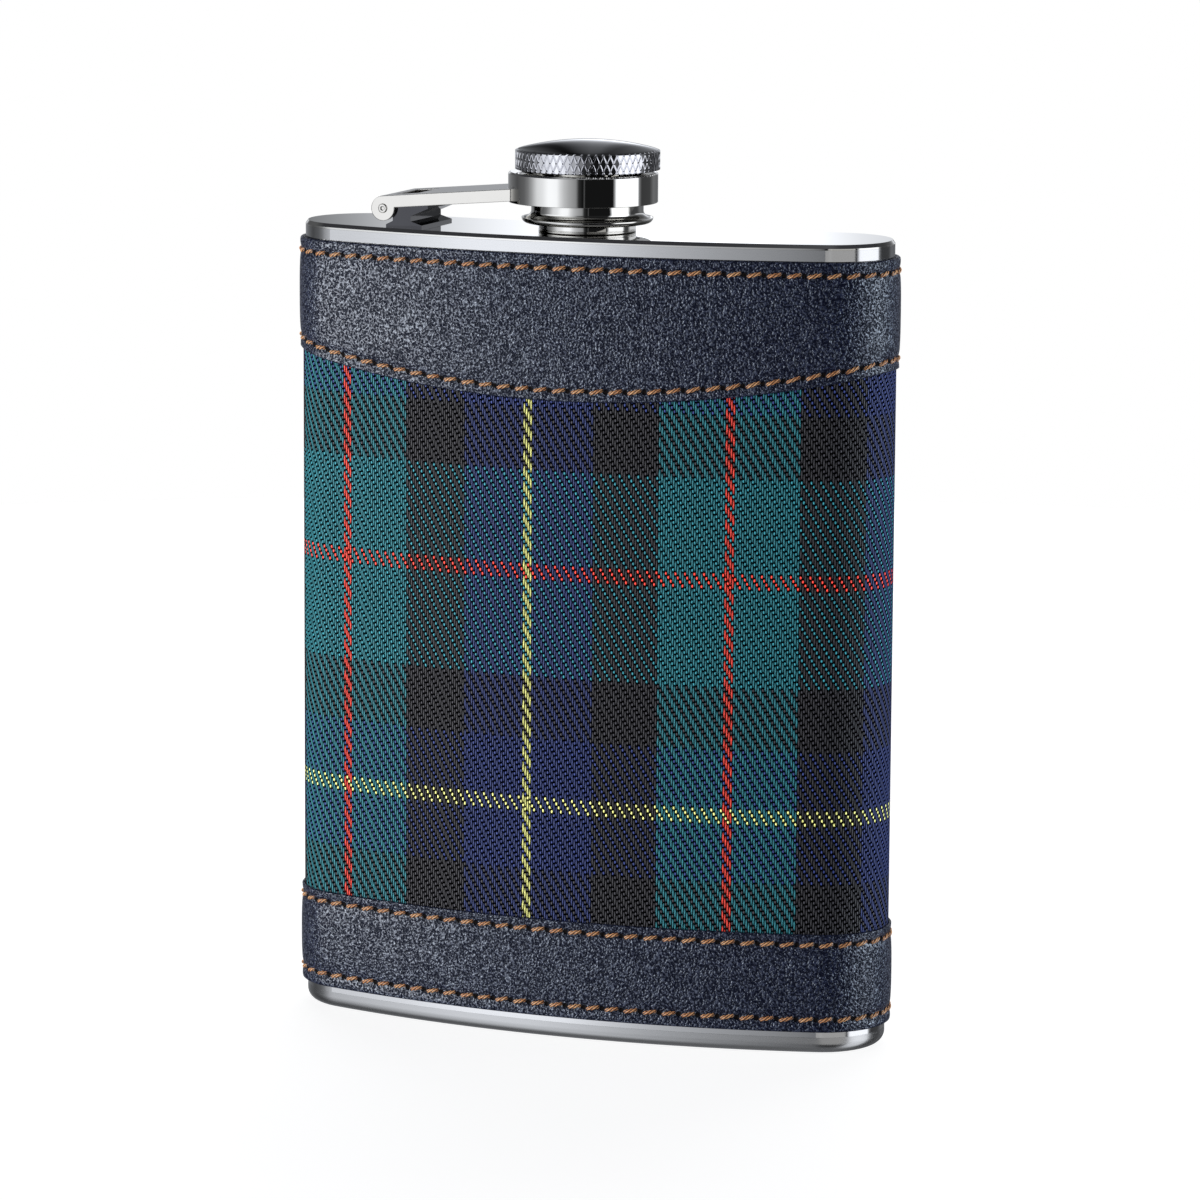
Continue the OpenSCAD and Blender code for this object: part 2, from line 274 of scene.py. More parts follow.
camera_azimuth = 20.6
camera = place_camera(camera_azimuth, elevation=9.45, roll=0.32, distance=845, focal=167.64,
                      aim_z=body_h / 2, slide_right=2.2, slide_up=4.78)
bpy.context.scene.view_settings.view_transform = "Standard"
bpy.context.scene.view_settings.look = "None"
print("camera at", [round(v, 3) for v in camera.matrix_world.translation])

# %% [markdown]
# ## A few words for node trees
# Every finish is a small calculation that Blender's shader nodes do for each point. These
# helpers write such a calculation like a formula, so that the finishes below stay readable.


# %% Helpers for shader nodes
def put(socket, value):
    """Links a socket to a value if the value is another node's output, or else sets it."""
    if isinstance(value, bpy.types.NodeSocket):
        socket.id_data.links.new(value, socket)
    else:
        socket.default_value = value


def calc(tree, what, *values, clamp=False):
    """A Math node: ADD, MULTIPLY, FRACT and so on."""
    n = tree.nodes.new("ShaderNodeMath")
    n.operation = what
    n.use_clamp = clamp
    for socket, value in zip(n.inputs, values):
        put(socket, value)
    return n.outputs[0]


def spread(tree, value, low, high, to_low=0.0, to_high=1.0, smooth=False):
    """Maps low..high onto to_low..to_high and stops at both ends."""
    n = tree.nodes.new("ShaderNodeMapRange")
    n.interpolation_type = "SMOOTHSTEP" if smooth else "LINEAR"
    n.clamp = True
    for socket, v in zip(n.inputs, (value, low, high, to_low, to_high)):
        put(socket, v)
    return n.outputs[0]


def blend_colours(tree, amount, first, second, how="MIX"):
    """Mixes two colours; amount 0 gives the first."""
    n = tree.nodes.new("ShaderNodeMix")
    n.data_type = "RGBA"
    n.blend_type = how
    put(n.inputs["Factor"], amount)
    for socket, c in ((n.inputs[6], first), (n.inputs[7], second)):
        put(socket, c if isinstance(c, bpy.types.NodeSocket) else (*c, 1.0))
    return n.outputs[2]


def ramp(tree, value, stops, curve="LINEAR"):
    """A colour ramp. stops are (place, colour or grey)."""
    n = tree.nodes.new("ShaderNodeValToRGB")
    put(n.inputs[0], value)
    n.color_ramp.interpolation = curve
    marks = n.color_ramp.elements
    while len(marks) < len(stops):
        marks.new(0.5)
    for mark, (place, colour) in zip(marks, stops):
        mark.position = place
        mark.color = (*colour, 1) if isinstance(colour, tuple) else (colour, colour, colour, 1)
    return n.outputs[0]


def noise(tree, place, scale, detail=2.0, rough=0.5, distort=0.0):
    """Cloudy noise, with scale in spots per millimetre where place is in millimetres."""
    n = tree.nodes.new("ShaderNodeTexNoise")
    put(n.inputs["Vector"], place)
    n.inputs["Scale"].default_value = scale
    n.inputs["Detail"].default_value = detail
    n.inputs["Roughness"].default_value = rough
    n.inputs["Distortion"].default_value = distort
    return n.outputs["Fac"]


def in_millimetres(tree, stretch=(1, 1, 1)):
    """The point's own place on the object in millimetres, squeezed by stretch."""
    where = tree.nodes.new("ShaderNodeTexCoord")
    size = tree.nodes.new("ShaderNodeVectorMath")
    size.operation = "MULTIPLY"
    tree.links.new(where.outputs["Object"], size.inputs[0])
    size.inputs[1].default_value = tuple(1000 * v for v in stretch)
    return size.outputs[0]


def uv_pair(tree, map_name):
    """The two numbers of a UV map."""
    n = tree.nodes.new("ShaderNodeUVMap")
    n.uv_map = map_name
    split = tree.nodes.new("ShaderNodeSeparateXYZ")
    tree.links.new(n.outputs[0], split.inputs[0])
    return split.outputs[0], split.outputs[1]


def bump(tree, height, depth_mm, under=None):
    """Turns a height into tilted normals. depth_mm is what a height of 1 means."""
    n = tree.nodes.new("ShaderNodeBump")
    n.inputs["Strength"].default_value = 1.0
    n.inputs["Distance"].default_value = depth_mm * MM
    put(n.inputs["Height"], height)
    if under is not None:
        put(n.inputs["Normal"], under)
    return n.outputs[0]


def finish_named(name):
    """A new material: returns it, its node tree and its shader."""
    material = bpy.data.materials.new(name)
    material.use_nodes = True
    tree = material.node_tree
    return material, tree, tree.nodes["Principled BSDF"]


# %% [markdown]
# ## The studio
# Polished steel shows nothing but its surroundings, so the light has to be built as carefully
# as the metal. The flask stands between two tall soft lights, one at the left and one at the
# right, with black boards between them and behind the camera. A sky made of nodes can hold
# all of this: its brightness depends on the compass direction near the horizon, and on the
# height above it. The camera itself sees plain white behind the flask.

# %% Boards and soft lights by direction
# Each pair is degrees to the right of the camera, and how bright that direction is.
near_horizon = [(-180, 0.4), (-142, 0.19), (-122, 0.1), (-103, 0.16), (-94, 0.27),
                (-86, 0.5), (-75, 1.0), (-65, 1.15), (-55, 1.45), (-49, 1.45), (-41, 1.4),
                (-35, 1.0), (-29, 0.74), (-22, 0.56), (-11, 0.36), (-7, 0.04), (-1, 0.01),
                (1.2, 0.01), (1.8, 0.14), (2.4, 0.01), (47, 0.01), (50, 0.5), (53, 1.7), (93, 1.7),
                (96, 0.3), (102, 0.06), (125, 0.07), (138, 0.2), (160, 0.15)]
higher_up = [(-180, 0.1), (-120, 0.12), (-100, 0.4), (-88, 1.5), (-50, 1.5), (-40, 1.2), (-20, 0.2),
             (-5, 0.02), (45, 0.02), (55, 2.2), (92, 2.2), (100, 0.2), (150, 0.1)]
# The board behind the shoulder plate goes from dark at the left to white at the right.
rear_board = [(-0.70, 0.9), (-0.47, 1.0), (-0.42, 0.12), (-0.405, 0.12), (-0.392, 0.37), (-0.376, 0.83),
              (-0.366, 1.1), (-0.345, 1.6), (-0.322, 1.6), (-0.307, 0.95), (-0.29, 0.6), (-0.25, 0.95),
              (0.1, 0.9)]
# It fades with height: degrees above the horizon, and the share that is left.
rear_fade = [(2, 0.0), (3.2, 1.0), (6.2, 1.0), (9, 0.6), (13.5, 0.25), (18.5, 0.14), (24, 0.09),
             (33, 0.05), (40, 0.03)]
cool = (0.96, 0.99, 1.05)
# Stored values are a quarter of the brightness, because a ramp's colours stop at 1.
SKY_GAIN = 4.0
# The rear board is stretched by this share, so its edges fall where they should on the plate.
board_stretch = 1.005
# Heights in degrees over which one zone of the sky runs into the next.
low_to_high, to_ceiling, to_overhead = (4, 14), (26, 38), (62, 74)
to_below, to_floor = (-12, -30), (-40, -75)
rear_starts, rear_sides = (2, 3.2), (0.68, 0.80)
ceiling = (0.012, 0.012, 0.013)
overhead = (0.12, 0.12, 0.12)
under_floor = (0.05, 0.05, 0.05)


def compass_ramp(tree, azimuth, pairs):
    """A ramp over the whole turn, from directions relative to the camera."""
    places = sorted(((a + camera_azimuth + 180) / 360 % 1.0, v) for a, v in pairs)
    stops = [(p, v / SKY_GAIN) for p, v in places]
    first, last = stops[0], stops[-1]
    gap = 1 - last[0] + first[0]
    seam = last[1] + (first[1] - last[1]) * (1 - last[0]) / gap
    return ramp(tree, azimuth, [(0, seam), *stops, (1, seam)])


def build_sky():
    """The studio's surroundings as a world."""
    sky = bpy.data.worlds.new("studio_sky")
    sky.use_nodes = True
    bpy.context.scene.world = sky
    tree = sky.node_tree
    tree.nodes.clear()
    where = tree.nodes.new("ShaderNodeTexCoord")
    split = tree.nodes.new("ShaderNodeSeparateXYZ")
    tree.links.new(where.outputs["Generated"], split.inputs[0])
    x, y, z = split.outputs
    azimuth = calc(tree, "ARCTAN2", x, calc(tree, "MULTIPLY", y, -1))
    azimuth = calc(tree, "MULTIPLY_ADD", azimuth, 1 / (2 * math.pi), 0.5)
    height = calc(tree, "MULTIPLY", calc(tree, "ARCSINE", z), 180 / math.pi)
    low = compass_ramp(tree, azimuth, near_horizon)
    high = compass_ramp(tree, azimuth, higher_up)
    level = calc(tree, "SQRT", calc(tree, "SUBTRACT", 1.0001, calc(tree, "MULTIPLY", z, z)))
    board_x, board_w = rear_board[0][0], rear_board[-1][0] - rear_board[0][0]
    board_stops = [((place - board_x) / board_w, value / SKY_GAIN) for place, value in rear_board]
    x_level = calc(tree, "DIVIDE", x, level)
    sideways = spread(tree, x_level, board_stretch * board_x, board_stretch * (board_x + board_w))
    board = ramp(tree, sideways, board_stops)
    fade = ramp(tree, calc(tree, "DIVIDE", height, 90), [(h / 90, share) for h, share in rear_fade])
    board = blend_colours(tree, 1.0, board, fade, "MULTIPLY")
    rear = spread(tree, calc(tree, "DIVIDE", y, level), *rear_sides)
    rear = calc(tree, "MULTIPLY", rear, spread(tree, height, *rear_starts))
    light = blend_colours(tree, spread(tree, height, *low_to_high, smooth=True), low, high)
    light = blend_colours(tree, spread(tree, height, *to_ceiling, smooth=True), light, ceiling)
    light = blend_colours(tree, rear, light, board)
    light = blend_colours(tree, spread(tree, height, *to_overhead, smooth=True), light, overhead)
    below = blend_colours(tree, 1.0, light, (0.75, 0.75, 0.75), "MULTIPLY")
    light = blend_colours(tree, spread(tree, height, *to_below, smooth=True), light, below)
    light = blend_colours(tree, spread(tree, height, *to_floor, smooth=True), light, under_floor)
    light = blend_colours(tree, 1.0, light, cool, "MULTIPLY")
    shine = tree.nodes.new("ShaderNodeBackground")
    put(shine.inputs["Color"], light)
    shine.inputs["Strength"].default_value = SKY_GAIN
    plain = tree.nodes.new("ShaderNodeBackground")
    plain.inputs["Color"].default_value = (1, 1, 1, 1)
    plain.inputs["Strength"].default_value = 1.0
    path = tree.nodes.new("ShaderNodeLightPath")
    choose = tree.nodes.new("ShaderNodeMixShader")
    out = tree.nodes.new("ShaderNodeOutputWorld")
    put(choose.inputs[0], path.outputs["Is Camera Ray"])
    put(choose.inputs[1], shine.outputs[0])
    put(choose.inputs[2], plain.outputs[0])
    put(out.inputs[0], choose.outputs[0])
    return sky


sky = build_sky()
print("sky built with", len(sky.node_tree.nodes), "nodes")

# %% [markdown]
# ## The floor and the lamps
# The floor is a pale disc that glows a little, like a light table, so it runs into the white
# behind it. Only the camera sees it: what the steel mirrors below the horizon is the sky's
# own lower half, which keeps the boards and the soft lights crisp down to the foot. One soft
# light from behind keeps the back of the wrap from going black. Two lights, left and right,
# fall on the wrap alone, so the leather gets its broad sheen without a new stripe in the cap.
# A weak one low in front fills the dark gap that the boards would leave in the bare rims.


# %% Floor and lamps
def build_floor(radius_mm):
    material, tree, shader = finish_named("pale_floor")
    grain = noise(tree, in_millimetres(tree), 0.8)
    put(shader.inputs["Base Color"], blend_colours(tree, grain, (0.33, 0.33, 0.33), (0.35, 0.35, 0.35)))
    shader.inputs["Roughness"].default_value = 0.9
    shader.inputs["Emission Color"].default_value = (1, 1, 1, 1)
    shader.inputs["Emission Strength"].default_value = 0.86
    mesh = bpy.data.meshes.new("floor")
    disc = bmesh.new()
    bmesh.ops.create_circle(disc, cap_ends=True, segments=128, radius=radius_mm * MM)
    disc.to_mesh(mesh)
    disc.free()
    mesh.materials.append(material)
    floor = bpy.data.objects.new("floor", mesh)
    floor.location = (0, 0, -0.00005)
    floor.visible_glossy = False
    floor.visible_diffuse = False
    floor.visible_shadow = False
    bpy.context.scene.collection.objects.link(floor)
    return floor


LIGHT_DISTANCE = 900


def soft_light(name, azimuth, elevation, size_mm, watts, shows_in_steel=True):
    """A square soft light, azimuth degrees to the right of the flask's front."""
    az, el = math.radians(azimuth), math.radians(elevation)
    away = Vector((math.sin(az) * math.cos(el), -math.cos(az) * math.cos(el), math.sin(el)))
    lamp = bpy.data.lights.new(name, "AREA")
    lamp.size = size_mm * MM
    lamp.energy = watts
    light = bpy.data.objects.new(name, lamp)
    light.location = Vector((0, 0, 0.06)) + away * LIGHT_DISTANCE * MM
    light.rotation_euler = away.to_track_quat("Z", "Y").to_euler()
    light.visible_glossy = shows_in_steel
    light.visible_camera = False
    bpy.context.scene.collection.objects.link(light)
    return light


floor = build_floor(550)
soft_light("back_fill", azimuth=195, elevation=35, size_mm=900, watts=7, shows_in_steel=False)
key = soft_light("wrap_key", azimuth=camera_azimuth - 76, elevation=2, size_mm=560, watts=6.6)
edge_light = soft_light("wrap_edge", azimuth=camera_azimuth + 88, elevation=5, size_mm=500, watts=4.0)
edge_light.data.color = (0.78, 0.9, 1.0)
rim_fill = soft_light("rim_fill", azimuth=camera_azimuth + 22, elevation=-9, size_mm=780, watts=1.0)

# %% [markdown]
# ## Polished and satin steel
# The cap, the ring, the arm and the shoulder plate are buffed to a mirror. A mirror that is
# too clean looks drawn, so its roughness wanders a little and hair-fine scratches tilt it.
# The body and the base are only brushed: their scratches all run one way, round the flask.
# The arm stays as the frame has it, so its broken edges are made by a Bevel node in its
# finish, which rounds the way light sees the edge and leaves the shape alone.


# %% Steel finishes
def polished_steel(name, tint, rough_low, rough_high, scratch=0.0015, edge_mm=0.0):
    """Mirror-like steel. With edge_mm its edges look broken by that radius."""
    material, tree, shader = finish_named(name)
    place = in_millimetres(tree)
    smudge = noise(tree, place, 0.25, 3)
    hairs = noise(tree, in_millimetres(tree, (3, 3, 40)), 1.2, 2)
    deep = tuple(c * 0.93 for c in tint)
    put(shader.inputs["Base Color"], blend_colours(tree, smudge, tint, deep))
    put(shader.inputs["Roughness"], spread(tree, smudge, 0.35, 0.7, rough_low, rough_high))
    broken = None
    if edge_mm:
        rounding = tree.nodes.new("ShaderNodeBevel")
        rounding.samples = 8
        rounding.inputs["Radius"].default_value = edge_mm * MM
        broken = rounding.outputs[0]
    put(shader.inputs["Normal"], bump(tree, hairs, scratch, under=broken))
    shader.inputs["Metallic"].default_value = 1.0
    return material


def satin_steel(name, tint, rough, along=(1, 1, 30)):
    material, tree, shader = finish_named(name)
    lines = noise(tree, in_millimetres(tree, along), 0.6, 4, 0.6)
    cloud = noise(tree, in_millimetres(tree), 0.15, 3)
    deep = tuple(c * 0.86 for c in tint)
    put(shader.inputs["Base Color"], blend_colours(tree, lines, deep, tint))
    put(shader.inputs["Roughness"], calc(tree, "ADD", spread(tree, lines, 0.3, 0.7, rough, rough + 0.07),
                                         calc(tree, "MULTIPLY", cloud, 0.03)))
    put(shader.inputs["Normal"], bump(tree, lines, 0.0008))
    shader.inputs["Metallic"].default_value = 1.0
    return material


mirror = polished_steel("mirror_steel", (0.70, 0.69, 0.66), 0.008, 0.03, 0.0004)
# Painted shade: the arm and pin get a darker, warmer copy of the mirror steel, so the arm's face reads
# grey instead of white
arm_steel = polished_steel("arm_steel", (0.62, 0.60, 0.56), 0.02, 0.05, 0.0004, 0.22)
# Painted reflection: the bracket's steel is near black, so it looks as if it mirrors dark surroundings
bracket_painted_dark_steel = polished_steel("bracket_steel", (0.06, 0.06, 0.065), 0.04, 0.1, 0.0006)
satin = satin_steel("brushed_steel", (0.62, 0.62, 0.62), 0.05)
foot_satin = satin_steel("foot_steel", (0.5, 0.5, 0.5), 0.2)
give_finish("body_shell", satin)
give_finish("captive_arm", arm_steel)
give_finish("hinge_pin", arm_steel)
give_finish("hinge_bracket", bracket_painted_dark_steel)

# %% [markdown]
# ## Base and shoulder plate
# Both are pressed from sheet. The base is a shallow dish with a well-rounded edge, and the
# shoulder plate is flat with its edge just broken, which shows as one thin dark line. Each is
# a profile carried once round the outline. The base is then closed across with flat faces;
# the shoulder plate's faces run in to the round hole for the neck.


# %% Plates that follow the outline
def plate(name, profile, node, material, steps=360):
    """A closed strip round the outline. profile is (out, height); its two ends are closed
    across with flat faces."""
    profile = np.asarray(profile, float)
    s = np.linspace(-half_round(0), half_round(0), steps, endpoint=False)
    x, y = outline(s[:, None], profile[None, :, 0], at=0)
    z = np.tile(profile[:, 1], (steps, 1))
    verts = np.stack([x, y, z], -1).reshape(-1, 3)
    rows = len(profile)
    faces = grid_faces(steps, rows, True, False)
    faces += [[c * rows for c in range(steps)], [c * rows + rows - 1 for c in range(steps)]]
    thing = piece_from(name, verts, faces, "flask", node, material)
    face_outwards(thing)
    return thing


foot_r, base_h, wall_t, plate_t = 1.8, 2.6, 0.6, 0.8
foot_turn = np.linspace(0, math.pi / 2, 13)
foot = [(-foot_r * (1 - math.sin(a)), foot_r * (1 - math.cos(a))) for a in foot_turn]
base_inside = -wall_t - 0.3
base_profile = [(-foot_r - 0.05, 0), *foot, (0, foot_r + 0.05), (0, base_h - 0.02), (0, base_h),
                (-0.02, base_h), (base_inside, base_h), (base_inside, plate_t)]
base = plate("base_dish", base_profile, "base_plate", foot_satin)

# %% Shoulder plate with the hole for the neck
core_r = 6.55
edge_points = [(-3, body_h), (-0.38, body_h), (0, body_h - 0.54), (0, body_h - plate_t),
               (-3, body_h - plate_t)]
edge = rounded(edge_points, [0, 0.04, 0.04, 0.03, 0], guard=0.01)


def shoulder(profile, material, steps=360):
    """The plate: its edge goes round the outline, its faces run in to the round hole."""
    s = np.linspace(-half_round(0), half_round(0), steps, endpoint=False)
    x, y = outline(s[:, None], profile[None, :, 0], at=0)
    z = np.tile(profile[:, 1], (steps, 1))
    angle = np.arctan2(y[:, 0] - mid_y, x[:, 0])

    def circle(r, height):
        """One row of points round the hole."""
        points = [r * np.cos(angle), mid_y + r * np.sin(angle), np.full(steps, height)]
        return np.stack(points, -1)[:, None]

    # A second circle close to the hole keeps the flat face flat when it is shaded smooth
    under = body_h - plate_t
    beside = core_r + 0.02
    verts = np.concatenate([circle(core_r, body_h), circle(beside, body_h), np.stack([x, y, z], -1),
                            circle(beside, under), circle(core_r, under)], 1)
    rows = verts.shape[1]
    faces = grid_faces(steps, rows, True, True)
    thing = piece_from("shoulder", verts.reshape(-1, 3), faces, "flask", "shoulder_plate",
                       material)
    face_outwards(thing)
    return thing


shoulder_piece = shoulder(edge, mirror)

# %% [markdown]
# ## Neck with a screw thread
# A real thread is one ridge that climbs round the neck. Here the neck's core is turned like
# on a lathe, and the ridge is a small wedge swept along a rising spiral that thins out at both
# ends, as a rolled thread does. The collar below it is what shows under the closed cap.

# %% Turn the neck
bore_r, thread_r, collar_r, collar_h, neck_h, spigot_l = 5.6, 6.95, 7.3, 1.6, 7.4, 2.0
neck_profile = rounded(
    [(bore_r, -spigot_l), (core_r, -spigot_l), (core_r, 0.0), (collar_r, 0.0), (collar_r, 0.32),
     (collar_r - 0.12, 0.36), (collar_r - 0.12, 0.46), (collar_r, 0.5), (collar_r, collar_h),
     (core_r, collar_h), (core_r, neck_h), (bore_r, neck_h)],
    [0.1, 0.1, 0, 0, 0.04, 0.02, 0.02, 0.04, 0.14, 0.08, 0.25, 0.25], steps=4, guard=0.02)
neck_piece = turned("neck_turning", neck_profile, "flask", "neck", mirror)


# %% Add the climbing ridge
def thread_ridge(host, inner_r, outer_r, low, pitch, turns, steps=96):
    """Adds a spiral ridge to the host piece. It fades in and out over a third of a turn."""
    n = int(turns * steps) + 1
    t = np.linspace(0, turns, n)
    rise = np.clip(np.minimum(t, turns - t) / 0.33, 0.02, 1)
    shape = [(-0.05, -0.38), (1, -0.12), (1, 0.12), (-0.05, 0.38)]
    verts = []
    for out, side in shape:
        r = inner_r + (outer_r - inner_r) * np.where(out > 0, out * rise, out)
        a = 2 * math.pi * t
        verts.append(np.stack([r * np.cos(a), mid_y + r * np.sin(a),
                               body_h + low + pitch * t + side * pitch * rise], -1))
    verts = np.stack(verts, 1).reshape(-1, 3)
    faces = grid_faces(n, 4, False, True)
    faces += [[0, 1, 2, 3], [4 * n - 4 + k for k in range(4)]]
    ridge = bpy.data.meshes.new("ridge")
    ridge.from_pydata([tuple(v) for v in verts * MM], [], faces)
    both = bmesh.new()
    both.from_mesh(host.data)
    fresh = bmesh.new()
    fresh.from_mesh(ridge)
    bmesh.ops.recalc_face_normals(fresh, faces=fresh.faces)
    for f in fresh.faces:
        f.smooth = False
    fresh.to_mesh(ridge)
    fresh.free()
    both.from_mesh(ridge)
    both.to_mesh(host.data)
    both.free()
    bpy.data.meshes.remove(ridge)
    print("ridge of", turns, "turns added to", host.name)


thread_pitch, thread_turns, neck_thread_low = 1.2, 3, 2.75
thread_ridge(neck_piece, core_r, thread_r, neck_thread_low, thread_pitch, thread_turns)

# %% [markdown]
# ## Captive ring, sleeve and washer
# The ring is a plain polished band with a small bevel along its top. The sleeve turns inside
# it: below it flares into a sharp lip that fingers can catch, and above it carries the head.
# Both are turned. The flare is a hollow curve, so its profile is worked out point by point.
# The washer is a plain disc of pale rubber under the cap's roof.

# %% Turn the ring
ring_r, ring_bore_r, ring_h, ring_z, ring_offset = 11.2, 9.15, 4.5, 4.4, 0.7
ring_profile = rounded(
    [(ring_bore_r, ring_z), (ring_r, ring_z), (ring_r, ring_z + ring_h - 0.26),
     (ring_r - 0.3, ring_z + ring_h), (ring_bore_r, ring_z + ring_h)],
    [0.1, 0.08, 0.05, 0.05, 0.12], steps=5, guard=0.03)
turned("ring_band", ring_profile, "captive_link", "captive_ring", mirror,
       centre_x=-ring_offset, segments=256)

# %% Turn the sleeve
sleeve_r, lip_r, lip_z, lip_top_z = 8.4, 9.85, 1.3, 3.1
head_r, head_z, knurl_h, dome_rise, head_t = 10.83, 9.2, 3.0, 1.5, 0.9
cap_crest_r, mouth_r, roof_z = 7.38, 7.45, 8.5
lip_edge_z = lip_z + 0.8
flare_a = np.linspace(0.1, math.pi / 2, 9)
hollow = [(sleeve_r + (lip_r - sleeve_r) * (1 - math.sin(a)),
           lip_edge_z + (lip_top_z - lip_edge_z) * (1 - math.cos(a))) for a in flare_a]
belly_a = np.linspace(0, 1.42, 9)
belly = [(8.95 + 0.9 * math.sin(a), lip_z + 0.8 * (1 - math.cos(a))) for a in belly_a]
sleeve_profile = [(mouth_r, lip_z + 0.06), (mouth_r + 0.06, lip_z), (8.9, lip_z), *belly,
                  (lip_r, lip_edge_z), *hollow, (sleeve_r, lip_top_z + 0.05), (sleeve_r, head_z - 0.04),
                  (head_r - head_t, head_z), (head_r - head_t, head_z + 0.8), (0, head_z + 0.8),
                  (0, roof_z), (cap_crest_r, roof_z), (cap_crest_r, 2.15), (mouth_r, 2.1)]
sleeve_piece = turned("sleeve_turning", sleeve_profile, "cap", "cap_sleeve", mirror,
                      segments=256)

# %% Add the thread inside the sleeve
# The cap's own thread is rolled in, so it stands inwards from the bore only a little.
cap_thread_low = 3.2
thread_ridge(sleeve_piece, cap_crest_r + 0.02, cap_crest_r - 0.12, cap_thread_low, thread_pitch,
             thread_turns)

# %% Washer
rubber, tree, shader = finish_named("pale_rubber")
speckle = noise(tree, in_millimetres(tree), 3.0, 3)
put(shader.inputs["Base Color"], blend_colours(tree, speckle, (0.74, 0.72, 0.66), (0.8, 0.78, 0.73)))
put(shader.inputs["Roughness"], spread(tree, speckle, 0.3, 0.7, 0.5, 0.65))
put(shader.inputs["Normal"], bump(tree, speckle, 0.01))
washer_profile = rounded([(0, 7.5), (7.18, 7.5), (7.18, 8.4), (0, 8.4)], [0, 0.15, 0.15, 0])
turned("washer_disc", washer_profile, "washer", "cap_washer", rubber)

# %% [markdown]
# ## Knurled head
# The head's edge is pressed between crossed wheels, which leave flat-topped diamonds between
# slanting grooves. Each diamond is built as a small flat top with four sloping sides, on a
# lattice that leans both ways. The band is cut off straight above and below, and its cut
# edges are drawn in to meet the dome, so that the whole head is one skin.

# %% Lattice of diamonds
diamonds = 63
lean = 0.47
groove = 0.27
groove_share = 0.34


def knurl_band(low, high):
    """Flat-topped diamonds round the head between two heights, cut straight at both."""
    step = 2 * math.pi * head_r / diamonds
    tall = step / lean
    rows = int(math.ceil((high - low) / tall * 2)) + 3
    work = bmesh.new()

    def spot(u, v, depth):
        a = u * step / head_r
        r = head_r - depth
        return work.verts.new((r * math.cos(a), r * math.sin(a), low + v * tall))

    k = 1 - groove_share
    for j in range(-2, rows):
        for i in range(diamonds):
            u, v = i + (j % 2) / 2, j / 2 - 0.35
            corners = [spot(u - 0.5, v, groove), spot(u, v - 0.5, groove), spot(u + 0.5, v, groove),
                       spot(u, v + 0.5, groove)]
            tops = [spot(u - 0.5 * k, v, 0.0), spot(u, v - 0.5 * k, 0.0), spot(u + 0.5 * k, v, 0.0),
                    spot(u, v + 0.5 * k, 0.0)]
            work.faces.new(tops)
            for n in range(4):
                m = (n + 1) % 4
                work.faces.new([corners[n], corners[m], tops[m], tops[n]])
    bmesh.ops.remove_doubles(work, verts=work.verts, dist=0.0005)
    for height, side in ((low, -1), (high, 1)):
        everything = work.verts[:] + work.edges[:] + work.faces[:]
        bmesh.ops.bisect_plane(work, geom=everything, plane_co=(0, 0, height), plane_no=(0, 0, side),
                               clear_outer=True, dist=0.0005)
    return work


def draw_in(work, height, to_r, to_z):
    """Draws the cut edge at a height in to a circle."""
    rim = [e for e in work.edges if e.is_boundary and all(abs(v.co.z - height) < 0.002 for v in e.verts)]
    fresh = bmesh.ops.extrude_edge_only(work, edges=rim)["geom"]
    for v in (g for g in fresh if isinstance(g, bmesh.types.BMVert)):
        a = math.atan2(v.co.y, v.co.x)
        v.co = (to_r * math.cos(a), to_r * math.sin(a), to_z)
    return len(rim)


# %% Join band and dome
knurl_low, knurl_high = head_z + 0.14, head_z + knurl_h - 0.1
inner_edge = head_r - 0.42
dome_r = (head_r**2 + dome_rise**2) / (2 * dome_rise)
dome_z = head_z + knurl_h + dome_rise - dome_r


def dome_height(r, sheet=0.0):
    """Height of the dome at radius r, or of its inside where sheet is the thickness."""
    return dome_z + math.sqrt((dome_r - sheet) ** 2 - r**2)


head_work = knurl_band(knurl_low, knurl_high)
top_edges = draw_in(head_work, knurl_high, inner_edge, dome_height(inner_edge) - 0.02)
low_edges = draw_in(head_work, knurl_low, inner_edge, head_z)
for f in head_work.faces:
    f.smooth = False
radii = np.linspace(inner_edge, 0, 28)
inside = np.linspace(0, head_r - head_t, 12)
dome_profile = [(r, dome_height(r) - 0.02 * (r == inner_edge)) for r in radii]
dome_profile += [(r, dome_height(r, head_t)) for r in inside]
dome_profile += [(head_r - head_t, head_z), (inner_edge, head_z)]
band_mesh = bpy.data.meshes.new("band")
head_work.to_mesh(band_mesh)
head_work.free()
print("knurled band:", len(band_mesh.polygons), "faces,", top_edges, "and", low_edges, "edges drawn in")


# %% The head's metal and its skin
head_steel = polished_steel("head_steel", (0.7, 0.7, 0.72), 0.03, 0.07, 0.0006)
segments = 192
turn_a = np.linspace(0, 2 * math.pi, segments, endpoint=False)
dome_pts = np.array(dome_profile)
dome_verts = np.stack([np.outer(np.cos(turn_a), dome_pts[:, 0]), np.outer(np.sin(turn_a), dome_pts[:, 0]),
                       np.tile(dome_pts[:, 1], (segments, 1))], -1).reshape(-1, 3)
dome_faces = grid_faces(segments, len(dome_pts), True, False)
band_verts = np.array([v.co[:] for v in band_mesh.vertices])
band_faces = [[i + len(dome_verts) for i in p.vertices] for p in band_mesh.polygons]
head_verts = np.concatenate([dome_verts, band_verts]) + np.array([0, mid_y, body_h])
head_piece = piece_from("knurled_head", head_verts, dome_faces + band_faces, "cap", "cap_head",
                        head_steel)
face_outwards(head_piece)
for face in head_piece.data.polygons:
    centre = face.center
    from_axis = math.hypot(centre.x, centre.y - mid_y * MM)
    face.use_smooth = from_axis < (inner_edge - 0.01) * MM
bpy.data.meshes.remove(band_mesh)

